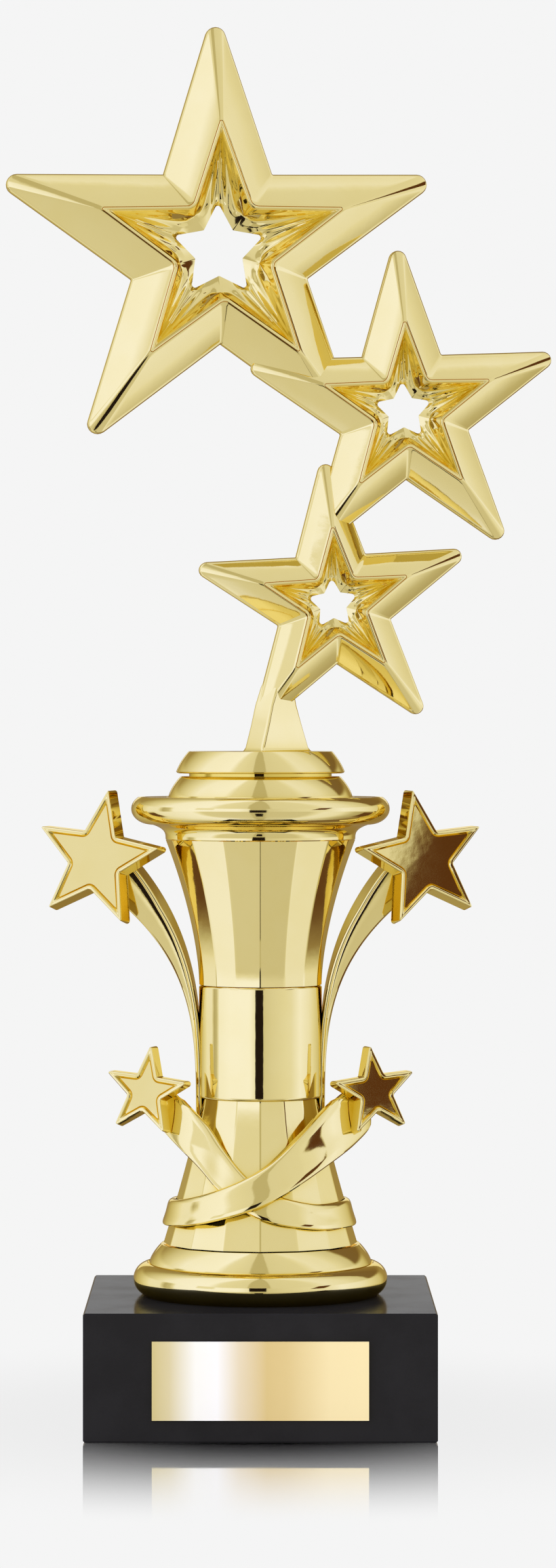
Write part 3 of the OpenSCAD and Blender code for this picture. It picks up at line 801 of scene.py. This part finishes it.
# %% Side stars
def panel_star(tip, notch_k, t):
    """Closed side star: back, drafted wall, softened rim, bevelled step and a sunk flat panel."""
    notch = notch_k * tip
    draft, rim, sunk = tip / 30, 0.75, 0.7
    steps = [(0.25, 0.0), (0.0, 0.2), (draft * 0.8, t - 0.4), (draft * 0.95, t - 0.15),
             (draft + 0.15, t - 0.02), (draft + 0.3, t), (draft + rim - 0.1, t),
             (draft + rim + 0.05, t - 0.08), (draft + rim + 0.4, t - sunk + 0.08),
             (draft + rim + 0.5, t - sunk - 0.08), (draft + rim + 0.62, t - sunk)]
    rings = [lift(inset(tip, notch, 0.8, 0.4, d), w) for d, w in steps]
    panel = rings[-1]
    for share in (0.85, 0.7, 0.55, 0.4, 0.25, 0.1):
        rings.append([(u * share, v * share, w) for u, v, w in panel])
    crown = 0.016 * tip
    for k in range(len(steps) - 1, len(rings)):
        rings[k] = [(u, v, w + crown * (1 - (u * u + v * v) / tip ** 2)) for u, v, w in rings[k]]
    return skin(rings)


def set_side_star(solid, side, place, tilt, roll, yaw):
    """Tilts, rolls and yaws a side star and moves it to its place; side 1 is the right one."""
    turn = Euler((radians(-tilt), radians(side * roll), radians(side * yaw)))
    placed = []
    for u, v, w in solid[0]:
        spot = Vector((u, -w, v))
        spot.rotate(turn)
        placed.append(spot + Vector((side * place[0], place[1], place[2])))
    return placed, solid[1]


LEAN, YAW_OUT = 6, 25
lower_place = (28.9, -4.5, waist_bottom + 1.8)
upper_place = (41.4, -2.2, collar_bottom - 5.3)
for label, side in (("left", -1), ("right", 1)):
    lower = set_side_star(panel_star(13.7, 0.4, 3.4), side, lower_place, LEAN, -6, YAW_OUT)
    stand_piece(f"lower_star_{label}_skin", lower, sharp=24)
    upper = set_side_star(panel_star(20, 0.43, 4.5), side, upper_place, LEAN, -9, YAW_OUT)
    stand_piece(f"upper_star_{label}_skin", upper, sharp=24)

# %% [markdown]
# ## Arms and ribbons
# An arm rises along the waist and swings out behind its star, with a bead along its inner edge and a
# drafted inner wall. A ribbon starts behind its lower star and wraps the flare. Both are one section
# carried along a curve, which keeps their edges crisp where a bent box would smear them.

# %% Arms
def arm(side):
    """Closed arm: rings of its section from the waist up to the back of its star."""
    low, high = waist_bottom - 5, upper_place[2]
    reach, depth, steps = 1.43 * (upper_place[0] - waist_r), 6.0, 48
    rings = []
    for k in range(steps + 1):
        t = 0.93 * k / steps
        swing = reach * t ** 3.3
        z_out, z_in = low + (high - low) * t, low + (high - low + 4) * t
        x_out, x_in = waist_r + 0.8 + swing, waist_r - 1 + 0.58 * swing
        wide = x_out - x_in
        front, lean = -depth / 2, min(1.6, 0.13 * wide)
        wall_w = min(1.7, 0.2 * wide)
        section = [(0.0, depth / 2), (wall_w - 0.15, front + 0.35), (wall_w, front + 0.1)]
        section += [(wall_w + d, front + 0.1 - 0.14 * sin(d / 0.9 * pi)) for d in (0.2, 0.45, 0.7)]
        section.append((wall_w + 0.9, front + 0.22))
        flat_w = wide - wall_w - 1.5
        for share in (0.0, 0.2, 0.4, 0.5, 0.6, 0.7, 0.8, 0.9, 1.0):
            sloped = lean * max(0.0, share - 0.15) ** 1.2
            section.append((wall_w + 1.1 + flat_w * share, front + 0.12 + sloped))
        section += [(wide - 0.12, front + 0.45 + lean), (wide, front + 0.8 + lean), (wide, depth / 2)]
        ring = []
        for across, y in section:
            s = across / wide
            ring.append((side * (x_in + across), y, z_in + (z_out - z_in) * s))
        rings.append(ring)
    return skin(rings)


for label, side in (("left", -1), ("right", 1)):
    stand_piece(f"upper_arm_{label}_skin", arm(side), sharp=30)

# %% Ribbons
# rows of turn round the flare in degrees, height of the middle, width, distance off the flare
over_path = [(-8, 84.5, 12, 11), (0, 83.3, 13.5, 10.5), (15, 80, 14, 7), (30, 76.9, 13.6, 4.6),
             (45, 73.6, 12.8, 2.9), (60, 69.9, 11.7, 1.9), (90, 62.6, 9.4, 1.6), (125, 57.3, 7.8, 1.3),
             (160, 55, 6.9, 0.4), (200, 54.7, 6.7, 0.25), (270, 54.7, 6.7, 0.25)]
under_path = [(-8, 85.5, 10, 11), (0, 84.3, 10.8, 10.5), (15, 80.6, 11.2, 7), (30, 76.8, 11, 4.4),
              (45, 72.3, 11, 1.8), (60, 66.8, 10.3, 0.15), (90, 58.7, 8, 0.15), (125, 55.1, 6.6, 0.15),
              (160, 54.7, 6.7, 0.2), (200, 54.7, 6.7, 0.25), (270, 54.7, 6.7, 0.25)]
ribbon_section = [(-1, 0), (-1, 0.35), (-0.97, 0.65), (-0.9, 0.86), (-0.78, 0.97), (-0.6, 1.0),
                  (-0.3, 0.97), (0, 0.95), (0.3, 0.97), (0.6, 1.0), (0.78, 0.97), (0.9, 0.86),
                  (0.97, 0.65), (1, 0.35), (1, 0)]
PATH_BOTTOM = 46.6
RIBBON_SEAT = 0.15


def along(path, turn, column):
    """Smooth value of a path's column at a turn, by a cubic through the rows."""
    k = max(i for i in range(len(path) - 1) if path[i][0] <= turn or i == 0)
    rows = [path[max(k - 1, 0)], path[k], path[k + 1], path[min(k + 2, len(path) - 1)]]
    span = rows[2][0] - rows[1][0]
    t = (turn - rows[1][0]) / span
    slopes = []
    for a, b in ((rows[0], rows[2]), (rows[1], rows[3])):
        slopes.append((b[column] - a[column]) / (b[0] - a[0]) * span)
    p, q = rows[1][column], rows[2][column]
    return ((2 * t ** 3 - 3 * t ** 2 + 1) * p + (t ** 3 - 2 * t ** 2 + t) * slopes[0]
            + (3 * t ** 2 - 2 * t ** 3) * q + (t ** 3 - t ** 2) * slopes[1])


def ribbon(path, side, thick, steps=110):
    """Closed ribbon from behind its star, over the front and round to the back of the flare."""
    rings = []
    first_turn, last_turn = path[0][0], path[-1][0]
    for k in range(steps + 1):
        turn = first_turn + (last_turn - first_turn) * k / steps
        z_mid = along(path, turn, 1) - PATH_BOTTOM + flare_bottom
        half_w, off = along(path, turn, 2) / 2, along(path, turn, 3)
        gap = (off - RIBBON_SEAT) * min(1.0, max(0.0, (80 - turn) / 25)) + RIBBON_SEAT
        a = radians(turn)
        ring = []
        for across, out in ribbon_section:
            z = z_mid + across * half_w
            r = column_r(z) + (off + out * thick if out else gap)
            ring.append((side * r * cos(a), -r * sin(a), z))
        rings.append(ring)
    return skin(rings)


stand_piece("ribbon_right_skin", ribbon(over_path, 1, 1.7), sharp=30)
stand_piece("ribbon_left_skin", ribbon(under_path, -1, 1.2), sharp=30)

# %% [markdown]
# ## Kept pieces
# The block, plate, felt, adhesive and fixings already have the right shape in the frame, so they only
# get their finishes.

# %% Dress the kept pieces
dressed = {"base_block": lacquer, "name_plate": foil, "plate_adhesive": adhesive, "base_felt": felt,
           "tie_rod": steel, "rod_nut": steel, "rod_washer": steel, "rod_insert": brass}
for name, material in dressed.items():
    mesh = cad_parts[name].data
    mesh.materials.clear()
    mesh.materials.append(material)
print("dressed", len(dressed), "kept pieces")

# %% [markdown]
# ## Floor
# A polished pale floor mirrors the block and fades into the backdrop a hand's width away. The fade is
# transparency by distance from the trophy's axis, so it stays the same from every side.

# %% Floor
def make_floor():
    """A wide mirror-like floor that fades out close round the block."""
    half = 0.6
    mesh = bpy.data.meshes.new("floor")
    corners = [(-half, -half, 0), (half, -half, 0), (half, half, 0), (-half, half, 0)]
    mesh.from_pydata(corners, [], [(0, 1, 2, 3)])
    floor = bpy.data.objects.new("floor", mesh)
    bpy.context.scene.collection.objects.link(floor)
    material = bpy.data.materials.new("polished_floor")
    material.use_nodes = True
    tree = material.node_tree
    tree.nodes.clear()
    place = node(tree, "ShaderNodeTexCoord")
    grain = node(tree, "ShaderNodeGroup", {"Scale": 40.0, "Fine Scale": 400.0}, node_tree=GRAIN)
    reach = node(tree, "ShaderNodeVectorMath", operation="LENGTH")
    tree.links.new(place.outputs["Object"], reach.inputs[0])
    fade = smooth_step(tree, reach.outputs["Value"], 0.04, 0.175, 1.0, 0.0)
    mirror = node(tree, "ShaderNodeBsdfGlossy", {"Color": (0.92, 0.92, 0.92, 1)})
    tree.links.new(smooth_step(tree, grain.outputs["Mask"], 0.0, 1.0, 0.02, 0.05), mirror.inputs["Roughness"])
    clear = node(tree, "ShaderNodeBsdfTransparent")
    mix = node(tree, "ShaderNodeMixShader")
    tree.links.new(fade, mix.inputs[0])
    tree.links.new(clear.outputs[0], mix.inputs[1])
    tree.links.new(mirror.outputs[0], mix.inputs[2])
    output = node(tree, "ShaderNodeOutputMaterial")
    tree.links.new(mix.outputs[0], output.inputs[0])
    mesh.materials.append(material)
    return floor


make_floor()
print("floor made")

# %% [markdown]
# ## Sizes
# The dressed model must not grow past the imported one. The scene is brought up to date, and a helper gives
# corners as plain lists of numbers. Both boxes are written down, so that they can be
# compared after each render.

# %% Update the scene and a helper for corners
bpy.context.view_layer.update()


def plain(corners):
    """Corners as plain lists of numbers."""
    return [[float(c) for c in corner] for corner in corners]
